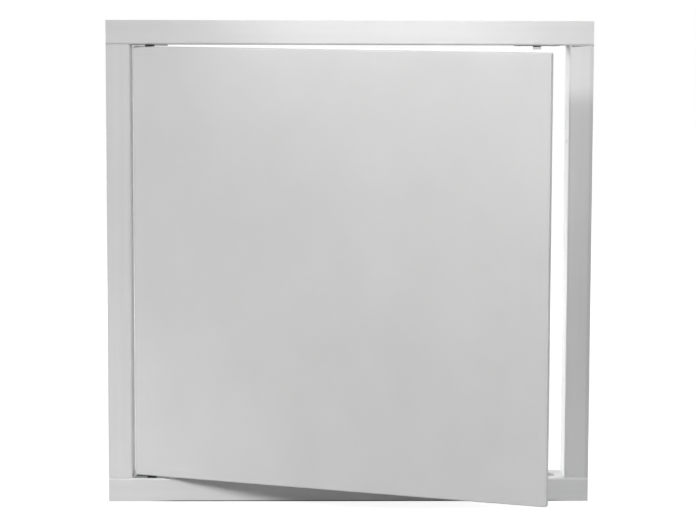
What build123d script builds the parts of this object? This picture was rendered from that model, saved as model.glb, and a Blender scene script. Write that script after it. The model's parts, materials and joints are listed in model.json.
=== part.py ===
# Steel access panel for a wall: an angle-section frame with a folded door on two pivot hinges.
# +X is to the right seen from the room, +Y goes into the wall and +Z is up. Millimetres, degrees.
# The origin is the middle of the bottom rail's back face, which bears on the wall.

import os
from math import cos, radians, sin

from build123d import *

# Frame: folded sheet angles, the rails run full width and the stiles stand between them
frame_width = 500.0
frame_height = 500.0
flange_width = 25.0
frame_depth = 40.0
frame_sheet = 1.2
frame_bend = 2.4
lap_length = 14.0
lap_width = 19.0
lap_from_stile_bend = 0.2
catch_stile_end_gap = 1.6

# Screw holes through the stiles, into the sides of the wall opening
screw_hole_diameter = 5.0
screw_spacing = 250.0
screw_from_wall_face = 20.0

# Door: one sheet with its four edges folded back
door_gap = 2.0
door_sheet = 1.0
door_edge = 6.5
door_bend = 1.5
door_corner = 1.6
door_rest_angle = 22.0

# Pivot hinges at the top and bottom of the door's left side
pivot_from_door_side = 18.0
pivot_from_door_front = 3.6
pin_diameter = 3.0
pin_running_clearance = 0.08
pin_tail = 3.0
hinge_plate_length = 37.5
hinge_plate_depth = 14.0
hinge_plate_sheet = 1.3
hinge_plate_setback = 0.4
hinge_plate_from_stile = 0.5
washer_width = 9.4
washer_depth = 6.9
washer_corner = 3.0
washer_thickness = 0.4
washer_bore_clearance = 0.05
leaf_length = 25.0
leaf_from_pivot = 8.0
leaf_shelf_depth = 9.0
leaf_drop = 21.0
leaf_sheet = 1.2
leaf_bend = 2.0

# Magnetic catches on the rails near the free side, and the strike plates on the door
catch_from_stile = 32.7
catch_base_length = 46.6
catch_base_depth = 12.0
catch_base_from_wall_face = 10.0
catch_sheet = 0.8
catch_bend = 1.2
catch_tongue_width = 8.4
catch_tongue_drop = 4.2
magnet_thickness = 2.0
magnet_height = 2.6
magnet_from_door = 0.3
strike_length = 24.0
strike_drop = 12.0
strike_sheet = 1.0
strike_bend = 1.6

# Places that follow from the sizes above
front_y = -frame_sheet
opening_right = frame_width / 2 - flange_width
opening_left = -opening_right
opening_bottom = flange_width / 2
opening_top = frame_height - 1.5 * flange_width
middle_plane = Plane.XY.offset((opening_bottom + opening_top) / 2)

door_width = opening_right - opening_left - 2 * door_gap
door_height = opening_top - opening_bottom - 2 * door_gap
door_bottom = opening_bottom + door_gap
pivot_x = opening_left + door_gap + pivot_from_door_side
pivot_y = front_y + pivot_from_door_front
catch_x = opening_right - catch_from_stile
magnet_front_y = front_y + door_edge + magnet_from_door
tongue_front_y = magnet_front_y + magnet_thickness

# The door at rest: its directions, a level plane through the pivot and its front face
door_along = (cos(radians(door_rest_angle)), -sin(radians(door_rest_angle)), 0)
door_outward = (-sin(radians(door_rest_angle)), -cos(radians(door_rest_angle)), 0)
pivot_level = Plane(origin=(pivot_x, pivot_y, 0), x_dir=door_along, z_dir=(0, 0, 1))
front_corner = pivot_level.from_local_coords((-pivot_from_door_side, -pivot_from_door_front, door_bottom))
door_face = Plane(origin=front_corner, x_dir=door_along, z_dir=door_outward)

# Places inside the door, measured from the pivot along its depth and from the ground up
door_inside = door_sheet - pivot_from_door_front
door_back = door_edge - pivot_from_door_front
return_inside = door_bottom + door_sheet
strike_from_pivot = catch_x - pivot_x


def folded_angle(plane, corner, leg_x, leg_y, sheet, bend):
    """An angle section on a plane: two legs from an outer corner, with a round fold."""
    x, y = corner
    inner = (x + (sheet if leg_x > 0 else -sheet), y + (sheet if leg_y > 0 else -sheet))
    with BuildSketch(plane) as section:
        with BuildLine():
            Polyline(
                corner,
                (x + leg_x, y),
                (x + leg_x, inner[1]),
                inner,
                (inner[0], y + leg_y),
                (x, y + leg_y),
                close=True,
            )
        make_face()
        fillet(section.vertices().sort_by_distance((*corner, 0))[0], bend)
        fillet(section.vertices().sort_by_distance((*inner, 0))[0], bend - sheet)
    return section.sketch


def mirrored(piece):
    """The same piece at the other end of the door, mirrored about the panel's middle height."""
    with BuildPart() as copy:
        mirror(piece, about=middle_plane)
    return copy.part


def save(part, name):
    part.label = name
    export_step(part, f"parts/{name}.step")


os.makedirs("parts", exist_ok=True)

# Rails: an angle whose web lines the opening, cut back past the stiles to leave the fold and a lap tongue
with BuildPart() as bottom_rail:
    rail_corner = (front_y, opening_bottom)
    rail_angle = folded_angle(Plane.YZ, rail_corner, frame_depth, -flange_width, frame_sheet, frame_bend)
    extrude(rail_angle, amount=frame_width / 2, both=True)
    web_end = opening_right + frame_sheet
    fold_end_y = front_y + frame_bend
    for side in (1, -1):
        with BuildSketch(Plane.XY.offset(opening_bottom - frame_bend)):
            with Locations((side * (web_end + flange_width / 2), fold_end_y + frame_depth / 2)):
                Rectangle(flange_width, frame_depth)
        extrude(amount=frame_bend, mode=Mode.SUBTRACT)
        lap_x = opening_right + frame_bend + lap_from_stile_bend + lap_width / 2
        with BuildSketch(Plane.XY.offset(opening_bottom - frame_sheet)):
            with Locations((side * lap_x, frame_sheet / 2)):
                Rectangle(lap_width, frame_sheet)
        extrude(amount=frame_sheet + lap_length)
save(bottom_rail.part, "bottom_rail")
save(mirrored(bottom_rail.part), "top_rail")

# Stiles: the same angle between the rails, drilled for the wall screws
with BuildPart() as hinge_stile:
    stile_foot = Plane.XY.offset(opening_bottom)
    stile_corner = (opening_left, front_y)
    stile_angle = folded_angle(stile_foot, stile_corner, -flange_width, frame_depth, frame_sheet, frame_bend)
    extrude(stile_angle, amount=opening_top - opening_bottom)
    with BuildSketch(Plane.YZ.offset(opening_left)):
        with Locations((screw_from_wall_face, middle_plane.origin.Z)):
            with GridLocations(0, screw_spacing, 1, 2):
                Circle(screw_hole_diameter / 2)
    extrude(amount=-frame_sheet, mode=Mode.SUBTRACT)
save(hinge_stile.part, "hinge_stile")

# The catch stile's face is cut out of square, so its ends stand off the rails towards the opening
with BuildPart() as catch_stile:
    mirror(hinge_stile.part, about=Plane.YZ)
    for rail_z, inward in ((opening_bottom, 1), (opening_top, -1)):
        with BuildSketch(Plane.XZ.offset(frame_sheet)):
            with BuildLine():
                Polyline(
                    (opening_right, rail_z),
                    (opening_right + flange_width, rail_z),
                    (opening_right, rail_z + inward * catch_stile_end_gap),
                    close=True,
                )
            make_face()
        extrude(amount=-frame_sheet, mode=Mode.SUBTRACT)
save(catch_stile.part, "catch_stile")

# Lower hinge on the frame: a plate on the rail's web, a pin fixed in it and a nylon washer under the door
with BuildPart() as lower_hinge_plate:
    with BuildSketch(Plane.XY.offset(opening_bottom)):
        with Locations((opening_left + hinge_plate_from_stile, front_y + hinge_plate_setback)):
            Rectangle(hinge_plate_length, hinge_plate_depth, align=(Align.MIN, Align.MIN))
        with Locations((pivot_x, pivot_y)):
            Circle(pin_diameter / 2, mode=Mode.SUBTRACT)
    extrude(amount=hinge_plate_sheet)
save(lower_hinge_plate.part, "lower_hinge_plate")
save(mirrored(lower_hinge_plate.part), "upper_hinge_plate")

with BuildPart() as lower_hinge_pin:
    with BuildSketch(Plane.XY.offset(opening_bottom)):
        with Locations((pivot_x, pivot_y)):
            Circle(pin_diameter / 2)
    extrude(amount=return_inside + leaf_sheet + pin_tail - opening_bottom)
    chamfer(lower_hinge_pin.edges().sort_by(Axis.Z)[-1], pin_diameter / 6)
save(lower_hinge_pin.part, "lower_hinge_pin")
save(mirrored(lower_hinge_pin.part), "upper_hinge_pin")

# The washer is square at the front, where a skirt comes down over the plate's edge
with BuildPart() as lower_hinge_washer:
    with BuildSketch(Plane.XY.offset(opening_bottom + hinge_plate_sheet)) as washer_outline:
        with Locations((pivot_x, front_y)):
            Rectangle(washer_width, washer_depth, align=(Align.CENTER, Align.MIN))
        fillet(washer_outline.vertices().group_by(Axis.Y)[-1], washer_corner)
        with Locations((pivot_x, pivot_y)):
            Circle(pin_diameter / 2 + washer_bore_clearance, mode=Mode.SUBTRACT)
    extrude(amount=washer_thickness)
    with BuildSketch(Plane.XY.offset(opening_bottom)):
        with Locations((pivot_x, front_y)):
            Rectangle(washer_width, hinge_plate_setback, align=(Align.CENTER, Align.MIN))
    extrude(amount=hinge_plate_sheet)
save(lower_hinge_washer.part, "lower_hinge_washer")
save(mirrored(lower_hinge_washer.part), "upper_hinge_washer")

# Lower catch: a base on the rail's web, with a narrow tongue folded up behind the door to carry the magnet
with BuildPart() as lower_catch_bracket:
    with BuildSketch(Plane.XY.offset(opening_bottom)):
        with Locations((catch_x, catch_base_from_wall_face)):
            Rectangle(catch_base_length, catch_base_depth, align=(Align.CENTER, Align.MIN))
    extrude(amount=catch_sheet)
    tongue_side = Plane.YZ.offset(catch_x)
    tongue_corner = (tongue_front_y, opening_bottom)
    arm_length = catch_base_from_wall_face + catch_sheet - tongue_front_y
    tongue = folded_angle(tongue_side, tongue_corner, arm_length, catch_tongue_drop, catch_sheet, catch_bend)
    extrude(tongue, amount=catch_tongue_width / 2, both=True)
save(lower_catch_bracket.part, "lower_catch_bracket")
save(mirrored(lower_catch_bracket.part), "upper_catch_bracket")

with BuildPart() as lower_catch_magnet:
    with BuildSketch(Plane.XY.offset(opening_bottom + catch_tongue_drop - magnet_height)):
        with Locations((catch_x, magnet_front_y)):
            Rectangle(catch_tongue_width, magnet_thickness, align=(Align.CENTER, Align.MIN))
    extrude(amount=magnet_height)
save(lower_catch_magnet.part, "lower_catch_magnet")
save(mirrored(lower_catch_magnet.part), "upper_catch_magnet")

# Door: a shallow pan folded from one sheet, drilled in its top and bottom edges for the pins
with BuildPart() as door_panel:
    with BuildSketch(door_face):
        RectangleRounded(door_width, door_height, door_corner, align=(Align.MIN, Align.MIN))
    extrude(amount=-door_edge)
    fillet(faces().sort_by(Axis(door_face.origin, door_outward))[-1].edges(), door_bend)
    back = faces().sort_by(Axis(door_face.origin, door_outward))[0]
    offset(amount=-door_sheet, openings=back)
    with BuildSketch(pivot_level):
        Circle(pin_diameter / 2 + pin_running_clearance)
    extrude(amount=opening_top, mode=Mode.SUBTRACT)
save(door_panel.part, "door_panel")

# Hinge leaf: an angle inside the pan's corner that doubles the edge around the pin
with BuildPart() as lower_hinge_leaf:
    leaf_end = Plane(
        origin=pivot_level.from_local_coords((-leaf_from_pivot, 0, 0)),
        x_dir=tuple(-value for value in door_outward),
        z_dir=door_along,
    )
    leaf_corner = (door_inside, return_inside)
    leaf_angle = folded_angle(leaf_end, leaf_corner, leaf_shelf_depth, leaf_drop, leaf_sheet, leaf_bend)
    extrude(leaf_angle, amount=leaf_length)
    with BuildSketch(pivot_level):
        Circle(pin_diameter / 2 + pin_running_clearance)
    extrude(amount=return_inside + leaf_drop, mode=Mode.SUBTRACT)
save(lower_hinge_leaf.part, "lower_hinge_leaf")
save(mirrored(lower_hinge_leaf.part), "upper_hinge_leaf")

# Strike plate: an angle on the pan's edge, standing flush with the back of the fold for the magnet
with BuildPart() as lower_strike_plate:
    strike_middle = Plane(
        origin=pivot_level.from_local_coords((strike_from_pivot, 0, 0)),
        x_dir=tuple(-value for value in door_outward),
        z_dir=door_along,
    )
    strike_corner = (door_back, return_inside)
    strike_shelf = door_back - door_inside - door_bend
    strike_angle = folded_angle(
        strike_middle, strike_corner, -strike_shelf, strike_drop, strike_sheet, strike_bend
    )
    extrude(strike_angle, amount=strike_length / 2, both=True)
save(lower_strike_plate.part, "lower_strike_plate")
save(mirrored(lower_strike_plate.part), "upper_strike_plate")
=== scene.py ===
import json
from math import cos, pi, radians, sin

import bpy
from bpy.props import FloatProperty, FloatVectorProperty, PointerProperty
from mathutils import Matrix, Vector


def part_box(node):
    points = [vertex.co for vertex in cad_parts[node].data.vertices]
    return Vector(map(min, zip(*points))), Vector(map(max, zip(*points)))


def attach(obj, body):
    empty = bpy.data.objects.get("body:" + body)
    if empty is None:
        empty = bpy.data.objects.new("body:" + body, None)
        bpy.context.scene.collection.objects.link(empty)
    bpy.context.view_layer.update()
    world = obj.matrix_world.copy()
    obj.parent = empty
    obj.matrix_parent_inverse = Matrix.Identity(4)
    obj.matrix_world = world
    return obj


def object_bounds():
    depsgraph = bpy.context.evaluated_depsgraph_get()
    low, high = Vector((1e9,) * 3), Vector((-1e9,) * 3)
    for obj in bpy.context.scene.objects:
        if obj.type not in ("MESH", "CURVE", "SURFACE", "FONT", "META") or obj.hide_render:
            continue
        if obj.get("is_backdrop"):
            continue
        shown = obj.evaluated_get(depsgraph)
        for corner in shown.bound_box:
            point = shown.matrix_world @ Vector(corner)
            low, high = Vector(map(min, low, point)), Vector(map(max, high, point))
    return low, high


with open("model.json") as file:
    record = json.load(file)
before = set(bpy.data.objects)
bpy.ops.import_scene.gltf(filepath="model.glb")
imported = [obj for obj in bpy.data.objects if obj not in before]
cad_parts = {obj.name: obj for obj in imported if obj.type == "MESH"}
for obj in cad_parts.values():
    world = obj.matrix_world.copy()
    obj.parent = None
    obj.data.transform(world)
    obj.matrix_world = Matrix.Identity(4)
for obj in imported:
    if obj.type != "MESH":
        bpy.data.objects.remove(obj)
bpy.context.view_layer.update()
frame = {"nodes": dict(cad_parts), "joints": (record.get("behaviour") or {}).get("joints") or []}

bl_info = {
    "name": "Access panel finish",
    "version": (1, 0, 0),
    "blender": (4, 5, 0),
    "location": "3D View > Sidebar > Access panel",
    "description": "Paints a steel access panel, adds its rivets and weld marks, and sets up a studio",
    "category": "Object",
}

ENDS = ("upper", "lower")
MM = 0.001

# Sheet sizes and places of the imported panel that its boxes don't give
SHEET = 1.2 * MM
CATCH_SHEET = 0.8 * MM
CATCH_BASE_DEPTH = 12.0 * MM
LAP_MIDDLE_FROM_EDGE = 12.9 * MM
LAP_WELD_FROM_END = 6.5 * MM
LEAF_FACE_FROM_PIVOT = -1.4 * MM
LEAF_WELD_FROM_PIVOT = 9.5 * MM

# Where light and shade are painted on the coat: painted shade at the end of the top laps, a painted
# highlight on the bottom rail's bend, a painted shadow along its foot, painted shade along the catch stile's
# edge
TOP_LAP_END_Z = 462.3 * MM
BOTTOM_BEND_Z = 10.2 * MM
FOOT_TOP_Z = -11.2 * MM
FOOT_ENDS_X = (-195 * MM, 215 * MM)
CATCH_EDGE_X = 246.4 * MM

# A limit that lies past the whole panel
FAR = 1.0

# The painted highlight along a faint curved crease on the door: the middle of its circle, from the pivot
# along the door and up, and its ends
DOOR_HIGHLIGHT_ALONG = 14.0 * MM
DOOR_HIGHLIGHT_UP = -417.2 * MM
DOOR_HIGHLIGHT_RADIUS = 205.0 * MM
DOOR_HIGHLIGHT_HALF_WIDTH = 0.6 * MM
DOOR_HIGHLIGHT_ENDS = (5 * MM, 42 * MM)

# Each lamp's name, place, point it faces, size and spread in degrees, in metres
PANEL_MIDDLE = (0.0, 0.0, 0.25)
LAMPS = (
    ("left", (-1.3, -2.2, 1.25), PANEL_MIDDLE, (0.35, 0.35), 180),
    ("right", (1.0, -2.5, 1.2), PANEL_MIDDLE, (0.35, 0.35), 180),
    ("rail", (-0.07, -0.45, 1.1), (0.035, 0.0, 0.468), (0.3, 0.12), 15),
    ("corner", (0.5, -0.9, 1.1), (0.15, -0.1, 0.45), (0.3, 0.3), 40),
    ("left_foot", (-0.6, -0.8, 0.6), (-0.25, 0.0, -0.05), (0.2, 0.2), 30),
    ("right_foot", (0.7, -0.9, 0.45), (0.26, 0.0, -0.1), (0.2, 0.2), 20),
    ("edge", (-1.5, 1.1, 0.7), (0.225, 0.02, 0.12), (0.3, 0.3), 30),
    ("back", (-0.4, 2.0, 1.3), PANEL_MIDDLE, (1.0, 1.0), 180),
)

# The floor's size, the grey it shows under its glow, and from where to where it turns plain white
FLOOR_SIZE = 12.0
SEEN_FLOOR = (0.35, 0.35, 0.35, 1)
WHITE_FROM, WHITE_AT = 0.5, 1.4

# The door's own directions at rest, from its joint: the joint's low limit is the closed door
door_joint = frame["joints"][0]
door_pivot = Vector(door_joint["pos_m"])
door_angle = radians(-door_joint["range_deg"][0])
door_along = Vector((cos(door_angle), -sin(door_angle), 0))
door_inward = Vector((sin(door_angle), cos(door_angle), 0))
DOOR_HIGHLIGHT_MIDDLE = door_along * DOOR_HIGHLIGHT_ALONG + Vector((0, 0, DOOR_HIGHLIGHT_UP))


def length(name, description, default):
    """A size property, shown in the scene's unit of length."""
    return FloatProperty(name=name, description=description, default=default, unit="LENGTH", precision=5)


def colour(name, description, default):
    """A colour property in linear light."""
    return FloatVectorProperty(
        name=name, description=description, default=default, subtype="COLOR", size=3, min=0.0, max=1.0
    )


def angle(name, description, default):
    """An angle property, given in degrees."""
    return FloatProperty(name=name, description=description, default=radians(default), subtype="ANGLE")


def watts(name, description, default):
    """A lamp's power."""
    return FloatProperty(name=name, description=description, default=default, unit="POWER", min=0.0)


class FixingSizes(bpy.types.PropertyGroup):
    """Sizes of the rivets and weld marks that hold the panel together"""

    shank_diameter: length("Rivet shank", "Diameter of a rivet's shank", 3.2 * MM)
    head_diameter: length("Rivet head", "Diameter of a rivet's head", 5.6 * MM)
    head_height: length("Head height", "Height of a rivet's head, low so that the door passes", 0.35 * MM)
    tail_diameter: length("Blind end", "Diameter of a rivet's blind end behind the sheet", 4.8 * MM)
    tail_length: length("Blind end length", "How far a rivet's blind end stands out", 2.4 * MM)
    rivet_from_end: length("Rivet from end", "From a plate's end to the middle of its rivet", 5.5 * MM)
    weld_diameter: length("Weld mark", "Diameter of a spot weld's mark", 4.6 * MM)
    weld_rim: length("Weld rim", "Height of the rim round a spot weld", 0.12 * MM)
    weld_spacing: length("Weld spacing", "Between two spot welds in a pair", 8.0 * MM)


class FinishColours(bpy.types.PropertyGroup):
    """Colours of the panel's finishes"""

    frame_coat: colour("Frame coat", "Satin powder coat on the frame", (0.60, 0.60, 0.60))
    door_coat: colour("Door coat", "Satin powder coat on the door", (0.62, 0.62, 0.62))
    bracket_coat: colour("Catch coat", "Coat on the catch brackets", (0.42, 0.42, 0.42))
    zinc: colour("Zinc", "Zinc plating on the hinges and strike plates", (0.25, 0.255, 0.26))
    nylon: colour("Nylon", "Black nylon of the hinge washers", (0.008, 0.008, 0.008))
    nickel: colour("Nickel", "Nickel plating on the magnets", (0.55, 0.55, 0.54))
    floor: colour("Floor", "Studio floor", (0.38, 0.38, 0.38))


class StudioSettings(bpy.types.PropertyGroup):
    """The camera's place and the lamps' powers"""

    azimuth: angle("Azimuth", "How far the camera looks to the right", 1.227)
    elevation: angle("Elevation", "How far the camera looks down", 6.593)
    roll: angle("Roll", "How far the camera leans", 0.192)
    distance: length("Distance", "From the camera to the point it looks at", 2667.5 * MM)
    aim_x: length("Aim across", "Across place of the point that the camera looks at", -1.584 * MM)
    aim_z: length("Aim height", "Height of the point that the camera looks at", 239.954 * MM)
    lens: FloatProperty(
        name="Lens", description="Focal length in millimetres", default=133.463, unit="CAMERA"
    )
    ambient: FloatProperty(name="Ambient", description="Light from all round", default=0.07, min=0.0)
    left_power: watts("Left lamp", "Lamp at the front left", 31.8)
    right_power: watts("Right lamp", "Lamp at the front right", 27.6)
    rail_power: watts("Rail lamp", "Narrow lamp on the middle of the top rail", 0.074)
    corner_power: watts("Corner lamp", "Narrow lamp on the door's upper free corner", 0.205)
    left_foot_power: watts("Left foot lamp", "Narrow lamp on the frame's lower hinge corner", 0.084)
    right_foot_power: watts("Right foot lamp", "Narrow lamp on the frame's lower catch corner", 0.05)
    edge_power: watts("Edge lamp", "Narrow lamp from behind, on the catch stile's inner side", 1.6)
    back_power: watts("Back lamp", "Large soft lamp behind the panel", 15.0)
    floor_glow: FloatProperty(
        name="Floor glow",
        description="White added to the floor where the camera sees it",
        default=0.85,
        min=0.0,
    )


class AccessPanelSettings(bpy.types.PropertyGroup):
    """All that a user would change on the panel"""

    sizes: PointerProperty(type=FixingSizes)
    colours: PointerProperty(type=FinishColours)
    studio: PointerProperty(type=StudioSettings)


# Shader nodes


def add_node(tree, kind, sockets=None, **settings):
    """A node with its settings, and its sockets set to values or linked to other sockets."""
    made = tree.nodes.new(kind)
    for name, value in settings.items():
        setattr(made, name, value)
    for name, value in (sockets or {}).items():
        if isinstance(value, bpy.types.NodeSocket):
            tree.links.new(value, made.inputs[name])
        else:
            made.inputs[name].default_value = value
    return made


def new_material(name):
    """A material with an empty node tree, and that tree."""
    material = bpy.data.materials.new(name)
    material.use_nodes = True
    material.node_tree.nodes.clear()
    return material, material.node_tree


def finish_material(tree, shader):
    """Link a shader to a new output."""
    add_node(tree, "ShaderNodeOutputMaterial", {"Surface": shader})


def placed(tree, stretch=(1, 1, 1), turn=0.0, origin=(0, 0, 0)):
    """Object coordinates measured from an origin, turned about Z and stretched."""
    vector = add_node(tree, "ShaderNodeTexCoord").outputs["Object"]
    back = [-value for value in origin]
    for name, value in (("Location", back), ("Rotation", (0, 0, turn)), ("Scale", stretch)):
        vector = add_node(tree, "ShaderNodeMapping", {"Vector": vector, name: value}).outputs["Vector"]
    return vector


def noise(tree, vector, scale, detail=2.0, roughness=0.5):
    """Plain noise, about 0.3 to 0.7."""
    sockets = {"Vector": vector, "Scale": scale, "Detail": detail, "Roughness": roughness}
    return add_node(tree, "ShaderNodeTexNoise", sockets).outputs["Fac"]


def ranged(tree, value, low, high, start=0.3, end=0.7):
    """A value from start to end, brought to low to high."""
    sockets = {"Value": value, "From Min": start, "From Max": end, "To Min": low, "To Max": high}
    return add_node(tree, "ShaderNodeMapRange", sockets).outputs["Result"]


def calculate(tree, operation, first, second=0.0):
    """Two values added, multiplied or otherwise joined."""
    made = add_node(tree, "ShaderNodeMath", operation=operation)
    for place, value in enumerate((first, second)):
        if isinstance(value, bpy.types.NodeSocket):
            tree.links.new(value, made.inputs[place])
        else:
            made.inputs[place].default_value = value
    return made.outputs["Value"]


def toned(tree, base, tone):
    """A colour made darker or lighter by a tone around 1."""
    sockets = {"Color": (*base, 1), "Value": tone}
    return add_node(tree, "ShaderNodeHueSaturation", sockets).outputs["Color"]


def bumped(tree, height, distance, normal=None):
    """A normal bumped by a height that spans a distance in metres."""
    sockets = {"Height": height, "Distance": distance, "Strength": 1.0}
    if normal is not None:
        sockets["Normal"] = normal
    return add_node(tree, "ShaderNodeBump", sockets).outputs["Normal"]


def soft_edges(tree, radius):
    """A normal that rounds the cut edges of the sheet under its coat."""
    return add_node(tree, "ShaderNodeBevel", {"Radius": radius}, samples=4).outputs["Normal"]


def within(tree, value, start, end, soft):
    """One where a value lies between start and end, and zero elsewhere, with soft limits."""
    after = ranged(tree, value, 0.0, 1.0, start - soft, start + soft)
    return calculate(tree, "MULTIPLY", after, ranged(tree, value, 1.0, 0.0, end - soft, end + soft))


def marked(tree, amount, first, second):
    """A tone of one, changed by an amount where two masks meet."""
    return ranged(tree, calculate(tree, "MULTIPLY", first, second), 1.0, 1.0 + amount, 0.0, 1.0)


def rail_painted_light(tree):
    """Painted shade in the top laps' seams, a painted highlight on the bottom rail's bend and a painted
    shadow along its foot.
    """
    place = add_node(tree, "ShaderNodeSeparateXYZ", {"Vector": placed(tree)}).outputs
    # Painted shade: the lap tongues' faces under the top rail, seen through the seams, are made much darker
    in_lap = within(tree, place["Y"], -0.5 * MM, 0.5 * MM, 0.1 * MM)
    painted_lap_shade = marked(tree, -0.8, in_lap, within(tree, place["Z"], 100 * MM, TOP_LAP_END_Z, 0.1 * MM))
    # Painted highlight: the bottom rail's rounded bend is made lighter, as where it catches light from above
    in_front = within(tree, place["Y"], -5 * MM, 1.1 * MM, 0.3 * MM)
    bright = marked(tree, 0.15, in_front, within(tree, place["Z"], BOTTOM_BEND_Z, 45 * MM, 0.4 * MM))
    # Painted shadow: a thin strip along the bottom rail's foot is made much darker, as the shadow where it
    # meets the floor
    along_foot = within(tree, place["X"], *FOOT_ENDS_X, 14 * MM)
    dark = marked(tree, -0.75, along_foot, within(tree, place["Z"], -FAR, FOOT_TOP_Z, 0.1 * MM))
    return calculate(tree, "MULTIPLY", calculate(tree, "MULTIPLY", painted_lap_shade, bright), dark)


def stile_painted_shade(tree):
    """Painted shade: a darker strip along the catch stile's outer edge, where it turns away from the light.
    """
    place = add_node(tree, "ShaderNodeSeparateXYZ", {"Vector": placed(tree)}).outputs
    on_edge = within(tree, place["X"], CATCH_EDGE_X, FAR, 0.8 * MM)
    # Painted shade on the edge strip
    return marked(tree, -0.1, on_edge, within(tree, place["Z"], 0, FAR, MM))


def door_painted_highlight(tree):
    """A faint painted highlight along a curved crease by the lower hinge corner."""
    place = placed(tree, turn=door_angle, origin=door_pivot + DOOR_HIGHLIGHT_MIDDLE)
    sockets = {0: place, 1: (1, 0, 1)}
    flat = add_node(tree, "ShaderNodeVectorMath", sockets, operation="MULTIPLY").outputs["Vector"]
    away = add_node(tree, "ShaderNodeVectorMath", {"Vector": flat}, operation="LENGTH").outputs["Value"]
    along = add_node(tree, "ShaderNodeSeparateXYZ", {"Vector": flat}).outputs["X"]
    inner, outer = DOOR_HIGHLIGHT_RADIUS - DOOR_HIGHLIGHT_HALF_WIDTH, DOOR_HIGHLIGHT_RADIUS + DOOR_HIGHLIGHT_HALF_WIDTH
    on_curve = within(tree, away, inner, outer, 0.8 * MM)
    # Painted highlight along the crease
    return marked(tree, 0.06, on_curve, within(tree, along, *DOOR_HIGHLIGHT_ENDS, 16 * MM))


def powder_coat(name, base, stretch, turn=0.0, marks=None):
    """Satin powder coat: orange peel, streaks along the rolled sheet, a cloudy tone and any painted light
    and shade given as its marks.
    """
    material, tree = new_material(name)
    plain = placed(tree, turn=turn)
    along = placed(tree, stretch, turn)
    streaks = ranged(tree, noise(tree, along, 1.0, 3.0), -0.022, 0.022)
    clouds = ranged(tree, noise(tree, plain, 16.0, 4.0, 0.6), -0.014, 0.014)
    tone = calculate(tree, "ADD", calculate(tree, "ADD", streaks, clouds), 1.0)
    # The marks change the tone with painted shade and highlights
    if marks is not None:
        tone = calculate(tree, "MULTIPLY", tone, marks(tree))
    peel = noise(tree, plain, 620.0, 2.0)
    rolled = noise(tree, along, 1.0, 1.0)
    normal = bumped(tree, rolled, 0.02 * MM, soft_edges(tree, 0.35 * MM))
    normal = bumped(tree, peel, 0.012 * MM, normal)
    sockets = {
        "Base Color": toned(tree, base, tone),
        "Roughness": ranged(tree, noise(tree, plain, 45.0, 3.0), 0.40, 0.50),
        "Normal": normal,
    }
    finish_material(tree, add_node(tree, "ShaderNodeBsdfPrincipled", sockets).outputs["BSDF"])
    return material


def zinc_plating(name, base):
    """Bright zinc on rolled steel: small dull grains and fine scratches."""
    material, tree = new_material(name)
    plain = placed(tree)
    grains = add_node(tree, "ShaderNodeTexVoronoi", {"Vector": plain, "Scale": 420.0}, feature="SMOOTH_F1")
    scratches = noise(tree, placed(tree, (60, 900, 900)), 1.0, 3.0)
    tone = ranged(tree, grains.outputs["Distance"], 0.90, 1.06, 0.0, 0.8)
    normal = bumped(tree, scratches, 0.01 * MM, soft_edges(tree, 0.25 * MM))
    sockets = {
        "Base Color": toned(tree, base, tone),
        "Metallic": 1.0,
        "Roughness": ranged(tree, scratches, 0.30, 0.46),
        "Normal": normal,
    }
    finish_material(tree, add_node(tree, "ShaderNodeBsdfPrincipled", sockets).outputs["BSDF"])
    return material


def moulded_nylon(name, base):
    """Black nylon with a dull moulded skin."""
    material, tree = new_material(name)
    plain = placed(tree)
    skin = noise(tree, plain, 1500.0, 3.0)
    sockets = {
        "Base Color": toned(tree, base, ranged(tree, noise(tree, plain, 300.0), 0.8, 1.2)),
        "Roughness": ranged(tree, skin, 0.55, 0.7),
        "Specular IOR Level": 0.25,
        "Normal": bumped(tree, skin, 0.01 * MM, soft_edges(tree, 0.12 * MM)),
    }
    finish_material(tree, add_node(tree, "ShaderNodeBsdfPrincipled", sockets).outputs["BSDF"])
    return material


def nickel_plating(name, base):
    """Nickel on a pressed magnet, slightly uneven."""
    material, tree = new_material(name)
    plain = placed(tree)
    ripple = noise(tree, plain, 700.0, 3.0)
    sockets = {
        "Base Color": toned(tree, base, ranged(tree, ripple, 0.92, 1.06)),
        "Metallic": 1.0,
        "Roughness": ranged(tree, ripple, 0.16, 0.28),
        "Normal": bumped(tree, ripple, 0.006 * MM, soft_edges(tree, 0.25 * MM)),
    }
    finish_material(tree, add_node(tree, "ShaderNodeBsdfPrincipled", sockets).outputs["BSDF"])
    return material


def coat(material, *nodes):
    """Give CAD nodes a material."""
    for name in nodes:
        slots = frame["nodes"][name].data.materials
        slots.clear()
        slots.append(material)


# Modelling


def deselect_all():
    """Leave nothing selected."""
    for thing in bpy.context.selected_objects:
        thing.select_set(False)


def turned_piece(name, outline, steps=28):
    """A round piece spun about Z from its half outline, a list of radius and height."""
    deselect_all()
    bpy.ops.mesh.primitive_plane_add(size=1.0)
    piece = bpy.context.object
    piece.name = piece.data.name = name
    bpy.ops.object.mode_set(mode="EDIT")
    bpy.ops.mesh.select_all(action="SELECT")
    bpy.ops.mesh.merge(type="CENTER")
    radius, height = outline[0]
    bpy.ops.transform.translate(value=(radius, 0, height))
    for next_radius, next_height in outline[1:]:
        step = (next_radius - radius, 0, next_height - height)
        bpy.ops.mesh.extrude_region_move(TRANSFORM_OT_translate={"value": step})
        radius, height = next_radius, next_height
    bpy.ops.mesh.select_all(action="SELECT")
    bpy.ops.mesh.spin(steps=steps, angle=2 * pi, center=(0, 0, 0), axis=(0, 0, 1))
    bpy.ops.mesh.select_all(action="SELECT")
    bpy.ops.mesh.remove_doubles(threshold=0.001 * MM)
    bpy.ops.mesh.normals_make_consistent(inside=False)
    bpy.ops.object.mode_set(mode="OBJECT")
    bpy.ops.object.shade_smooth_by_angle(angle=radians(35))
    return piece


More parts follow.
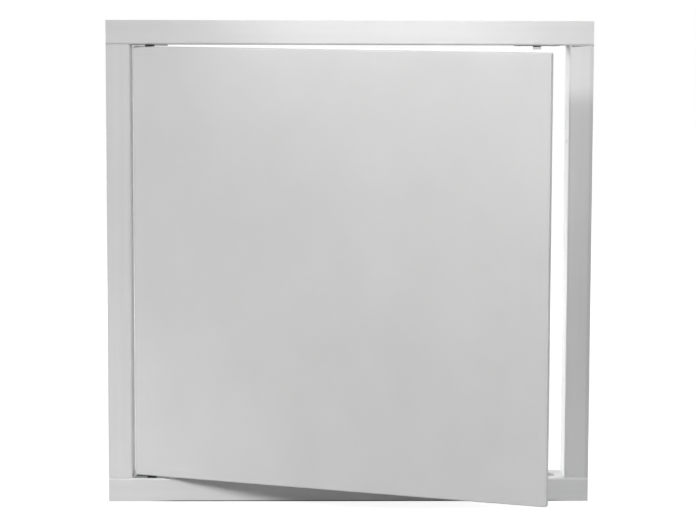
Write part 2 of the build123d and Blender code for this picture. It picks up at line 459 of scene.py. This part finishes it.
def facing(point, direction):
    """A place at a point, with Z along a direction."""
    return Matrix.Translation(point) @ Vector(direction).to_track_quat("Z", "Y").to_matrix().to_4x4()


def set_pieces(pattern, name, places, body, material):
    """Copies of a pattern at places, joined as one piece that rides on a body."""
    deselect_all()
    for place in places:
        copy = pattern.copy()
        copy.data = pattern.data.copy()
        copy.matrix_world = place
        bpy.context.collection.objects.link(copy)
        copy.select_set(True)
        bpy.context.view_layer.objects.active = copy
    bpy.ops.object.transform_apply(location=True, rotation=True, scale=True)
    bpy.ops.object.join()
    bpy.ops.object.transform_apply(location=True, rotation=True, scale=True)
    piece = bpy.context.object
    piece.name = piece.data.name = name
    piece.data.materials.clear()
    piece.data.materials.append(material)
    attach(piece, body)


def rivet_outline(sizes, grip):
    """Half outline of a blind rivet whose head seats at height 0: head, shank and blind end."""
    head, head_height = sizes.head_diameter / 2, sizes.head_height
    shank, tail = sizes.shank_diameter / 2, sizes.tail_diameter / 2
    hole, hole_depth = shank * 0.55, head_height * 0.6
    crown_turns = [radians(turn) for turn in (15, 35, 55, 75)]
    crown = [(hole + (head - hole) * sin(turn), head_height * cos(turn)) for turn in crown_turns]
    end = -grip - sizes.tail_length
    bulge = -grip - sizes.tail_length * 0.45
    return [
        (0, head_height - hole_depth),
        (hole, head_height - hole_depth),
        (hole, head_height),
        *crown,
        (head, head_height * 0.12),
        (head, 0),
        (shank, 0),
        (shank, -grip),
        (tail * 0.92, -grip),
        (tail, bulge),
        (shank, end),
        (shank * 0.7, end),
        (shank * 0.7, end + sizes.tail_length * 0.3),
        (0, end + sizes.tail_length * 0.3),
    ]


def weld_outline(sizes):
    """Half outline of a spot weld's mark: a low rim round a dished middle."""
    radius, rim = sizes.weld_diameter / 2, sizes.weld_rim
    return [
        (0, rim * 0.3),
        (radius * 0.45, rim * 0.32),
        (radius * 0.66, rim * 0.55),
        (radius * 0.78, rim),
        (radius * 0.9, rim * 0.7),
        (radius, 0),
        (radius * 0.9, -rim),
        (0, -rim),
    ]


def take_away(pattern):
    """Delete a pattern once its copies are made."""
    mesh = pattern.data
    bpy.data.objects.remove(pattern)
    bpy.data.meshes.remove(mesh)


# Operators


class PaintFrame(bpy.types.Operator):
    """Coat the rails, the stiles and the catch brackets, with the streaks along each, and painted shade and
    highlights on the rails and the catch stile
    """

    bl_idname = "access_panel.paint_frame"
    bl_label = "Paint frame"

    def execute(self, context):
        colours = context.scene.access_panel.colours
        base = colours.frame_coat
        rail = powder_coat("rail_powder_coat", base, (3, 110, 110), marks=rail_painted_light)
        coat(rail, "top_rail", "bottom_rail")
        stile = powder_coat("stile_powder_coat", base, (110, 110, 3), marks=stile_painted_shade)
        coat(stile, "hinge_stile", "catch_stile")
        bracket = powder_coat("bracket_powder_coat", colours.bracket_coat, (40, 40, 40))
        coat(bracket, *[f"{end}_catch_bracket" for end in ENDS])
        return {"FINISHED"}


class PaintDoor(bpy.types.Operator):
    """Coat the door, with a painted highlight along a faint crease by the lower hinge corner"""

    bl_idname = "access_panel.paint_door"
    bl_label = "Paint door"

    def execute(self, context):
        base = context.scene.access_panel.colours.door_coat
        coat(powder_coat("door_powder_coat", base, (12, 12, 9), door_angle, door_painted_highlight), "door_panel")
        return {"FINISHED"}


class PlateFittings(bpy.types.Operator):
    """Plate the hinges and strike plates with zinc, and the magnets with nickel"""

    bl_idname = "access_panel.plate_fittings"
    bl_label = "Plate fittings"

    def execute(self, context):
        colours = context.scene.access_panel.colours
        zinc = zinc_plating("zinc_plating", colours.zinc)
        for fitting in ("hinge_plate", "hinge_pin", "hinge_leaf", "strike_plate"):
            coat(zinc, *[f"{end}_{fitting}" for end in ENDS])
        coat(nickel_plating("nickel_plating", colours.nickel), *[f"{end}_catch_magnet" for end in ENDS])
        return {"FINISHED"}


class MouldWashers(bpy.types.Operator):
    """Give the hinge washers their black nylon"""

    bl_idname = "access_panel.mould_washers"
    bl_label = "Mould washers"

    def execute(self, context):
        nylon = moulded_nylon("black_nylon", context.scene.access_panel.colours.nylon)
        coat(nylon, *[f"{end}_hinge_washer" for end in ENDS])
        return {"FINISHED"}


class RivetHingePlates(bpy.types.Operator):
    """Rivet each hinge plate to its rail with two flat heads under the door's swing"""

    bl_idname = "access_panel.rivet_hinge_plates"
    bl_label = "Rivet hinge plates"

    def execute(self, context):
        sizes = context.scene.access_panel.sizes
        plate_low, plate_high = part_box("lower_hinge_plate")
        grip = plate_high.z - plate_low.z + SHEET
        pattern = turned_piece("hinge_rivet", rivet_outline(sizes, grip))
        for end, direction, corner in (("upper", -1, 0), ("lower", 1, 1)):
            low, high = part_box(f"{end}_hinge_plate")
            seat = (low, high)[corner].z
            y = high.y - sizes.rivet_from_end
            spots = [(low.x + sizes.rivet_from_end, y, seat), (high.x - sizes.rivet_from_end, y, seat)]
            places = [facing(spot, (0, 0, direction)) for spot in spots]
            zinc = bpy.data.materials["zinc_plating"]
            set_pieces(pattern, f"{end}_hinge_plate_rivets", places, "frame", zinc)
        take_away(pattern)
        return {"FINISHED"}


class RivetCatches(bpy.types.Operator):
    """Rivet each catch bracket to its rail with two flat heads"""

    bl_idname = "access_panel.rivet_catches"
    bl_label = "Rivet catches"

    def execute(self, context):
        sizes = context.scene.access_panel.sizes
        pattern = turned_piece("catch_rivet", rivet_outline(sizes, CATCH_SHEET + SHEET))
        for end, direction, corner in (("upper", -1, 1), ("lower", 1, 0)):
            low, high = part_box(f"{end}_catch_bracket")
            seat = (low, high)[corner].z + direction * CATCH_SHEET
            y = high.y - CATCH_BASE_DEPTH / 2
            spots = [(low.x + sizes.rivet_from_end, y, seat), (high.x - sizes.rivet_from_end, y, seat)]
            places = [facing(spot, (0, 0, direction)) for spot in spots]
            zinc = bpy.data.materials["zinc_plating"]
            set_pieces(pattern, f"{end}_catch_rivets", places, "frame", zinc)
        take_away(pattern)
        return {"FINISHED"}


class MarkWelds(bpy.types.Operator):
    """Mark the spot welds on the frame's corner laps and on the hinge leaves"""

    bl_idname = "access_panel.mark_welds"
    bl_label = "Mark welds"

    def execute(self, context):
        sizes = context.scene.access_panel.sizes
        pattern = turned_piece("weld_mark", weld_outline(sizes))
        half = sizes.weld_spacing / 2
        for rail, height in (("top_rail", 1), ("bottom_rail", -1)):
            low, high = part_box(rail)
            tongue_end = low.z if height > 0 else high.z
            z = tongue_end + height * LAP_WELD_FROM_END
            lap_x = high.x - LAP_MIDDLE_FROM_EDGE
            spots = [(side * lap_x + offset, SHEET, z) for side in (-1, 1) for offset in (-half, half)]
            places = [facing(spot, (0, 1, 0)) for spot in spots]
            paint = bpy.data.materials["rail_powder_coat"]
            set_pieces(pattern, f"{rail}_lap_welds", places, "frame", paint)
        for end in ENDS:
            low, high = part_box(f"{end}_hinge_leaf")
            z = (low.z + high.z) / 2
            leaf_face = door_pivot + door_inward * LEAF_FACE_FROM_PIVOT
            spots = [leaf_face + door_along * (LEAF_WELD_FROM_PIVOT + offset) for offset in (-half, half)]
            places = [facing((spot.x, spot.y, z), door_inward) for spot in spots]
            zinc = bpy.data.materials["zinc_plating"]
            set_pieces(pattern, f"{end}_hinge_leaf_welds", places, "door", zinc)
        take_away(pattern)
        return {"FINISHED"}


class SetStage(bpy.types.Operator):
    """Set up the floor, the lamps, the surroundings and the camera"""

    bl_idname = "access_panel.set_stage"
    bl_label = "Set stage"

    def execute(self, context):
        settings = context.scene.access_panel
        studio = settings.studio
        lay_floor(settings.colours.floor, studio.floor_glow)
        surround(context.scene, studio.ambient)
        for name, place, target, size, spread in LAMPS:
            hang_lamp(f"{name}_lamp", place, target, size, getattr(studio, f"{name}_power"), spread)
        aim_camera(context.scene, studio)
        context.scene.view_settings.view_transform = "Standard"
        return {"FINISHED"}


def seen_directly(tree):
    """One for rays that show the surroundings as they are: camera, glossy and transmission rays."""
    path = add_node(tree, "ShaderNodeLightPath")
    seen = calculate(tree, "MAXIMUM", path.outputs["Is Camera Ray"], path.outputs["Is Glossy Ray"])
    return calculate(tree, "MAXIMUM", seen, path.outputs["Is Transmission Ray"])


def lay_floor(base, glow):
    """A wide floor that keeps the panel's shadow, and is plain white further out."""
    deselect_all()
    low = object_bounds()[0]
    bpy.ops.mesh.primitive_plane_add(size=FLOOR_SIZE, location=(0, 0, low.z))
    floor = bpy.context.object
    floor.name = "studio_floor"
    material, tree = new_material("studio_floor")
    matt = add_node(tree, "ShaderNodeBsdfDiffuse", {"Color": (*base, 1)})
    dim = add_node(tree, "ShaderNodeBsdfDiffuse", {"Color": SEEN_FLOOR})
    away = add_node(tree, "ShaderNodeVectorMath", {"Vector": placed(tree)}, operation="LENGTH")
    strength = ranged(tree, away.outputs["Value"], glow, 1.0, WHITE_FROM, WHITE_AT)
    white = add_node(tree, "ShaderNodeEmission", {"Color": (1, 1, 1, 1), "Strength": strength})
    shown = add_node(tree, "ShaderNodeAddShader")
    tree.links.new(dim.outputs["BSDF"], shown.inputs[0])
    tree.links.new(white.outputs["Emission"], shown.inputs[1])
    mixed = add_node(tree, "ShaderNodeMixShader", {"Fac": seen_directly(tree)})
    tree.links.new(matt.outputs["BSDF"], mixed.inputs[1])
    tree.links.new(shown.outputs["Shader"], mixed.inputs[2])
    finish_material(tree, mixed.outputs["Shader"])
    floor.data.materials.append(material)
    floor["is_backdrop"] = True


def surround(scene, ambient):
    """White surroundings that light the panel gently."""
    world = bpy.data.worlds.new("studio")
    world.use_nodes = True
    tree = world.node_tree
    tree.nodes.clear()
    strength = ranged(tree, seen_directly(tree), ambient, 1.0, 0.0, 1.0)
    white = add_node(tree, "ShaderNodeBackground", {"Color": (1, 1, 1, 1), "Strength": strength})
    add_node(tree, "ShaderNodeOutputWorld", {"Surface": white.outputs["Background"]})
    scene.world = world


def hang_lamp(name, place, target, size, power, spread):
    """A rectangular soft lamp that faces a point, with its spread in degrees, and isn't seen itself."""
    lamp = bpy.data.lights.new(name, "AREA")
    lamp.shape = "RECTANGLE"
    lamp.size, lamp.size_y = size
    lamp.energy = power
    lamp.spread = radians(spread)
    hung = bpy.data.objects.new(name, lamp)
    hung.matrix_world = facing(place, Vector(place) - Vector(target))
    hung.visible_camera = False
    bpy.context.scene.collection.objects.link(hung)


def aim_camera(scene, studio):
    """The camera at the photograph's viewing angle."""
    forward = Vector((
        sin(studio.azimuth) * cos(studio.elevation),
        cos(studio.azimuth) * cos(studio.elevation),
        -sin(studio.elevation),
    ))
    data = bpy.data.cameras.new("camera")
    data.lens = studio.lens
    camera = bpy.data.objects.new("camera", data)
    place = Vector((studio.aim_x, 0, studio.aim_z)) - forward * studio.distance
    looking = forward.to_track_quat("-Z", "Y").to_matrix().to_4x4()
    camera.matrix_world = Matrix.Translation(place) @ looking @ Matrix.Rotation(studio.roll, 4, "Z")
    scene.collection.objects.link(camera)
    scene.camera = camera


class AccessPanelSidebar(bpy.types.Panel):
    """The panel's sizes, colours and operators in the sidebar"""

    bl_idname = "VIEW3D_PT_access_panel"
    bl_label = "Access panel"
    bl_space_type = "VIEW_3D"
    bl_region_type = "UI"
    bl_category = "Access panel"

    def draw(self, context):
        settings = context.scene.access_panel
        for group in (settings.sizes, settings.colours, settings.studio):
            box = self.layout.box()
            for name in group.__annotations__:
                box.prop(group, name)
        for operator in OPERATORS:
            self.layout.operator(operator.bl_idname)


GROUPS = (FixingSizes, FinishColours, StudioSettings, AccessPanelSettings)
OPERATORS = (
    PaintFrame,
    PaintDoor,
    PlateFittings,
    MouldWashers,
    RivetHingePlates,
    RivetCatches,
    MarkWelds,
    SetStage,
)


def register():
    for made in (*GROUPS, *OPERATORS, AccessPanelSidebar):
        bpy.utils.register_class(made)
    bpy.types.Scene.access_panel = PointerProperty(type=AccessPanelSettings)


def unregister():
    del bpy.types.Scene.access_panel
    for made in reversed((*GROUPS, *OPERATORS, AccessPanelSidebar)):
        bpy.utils.unregister_class(made)


def main():
    """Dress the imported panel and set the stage."""
    register()
    for operator in OPERATORS:
        module, name = operator.bl_idname.split(".")
        getattr(getattr(bpy.ops, module), name)()


if __name__ == "__main__":
    main()
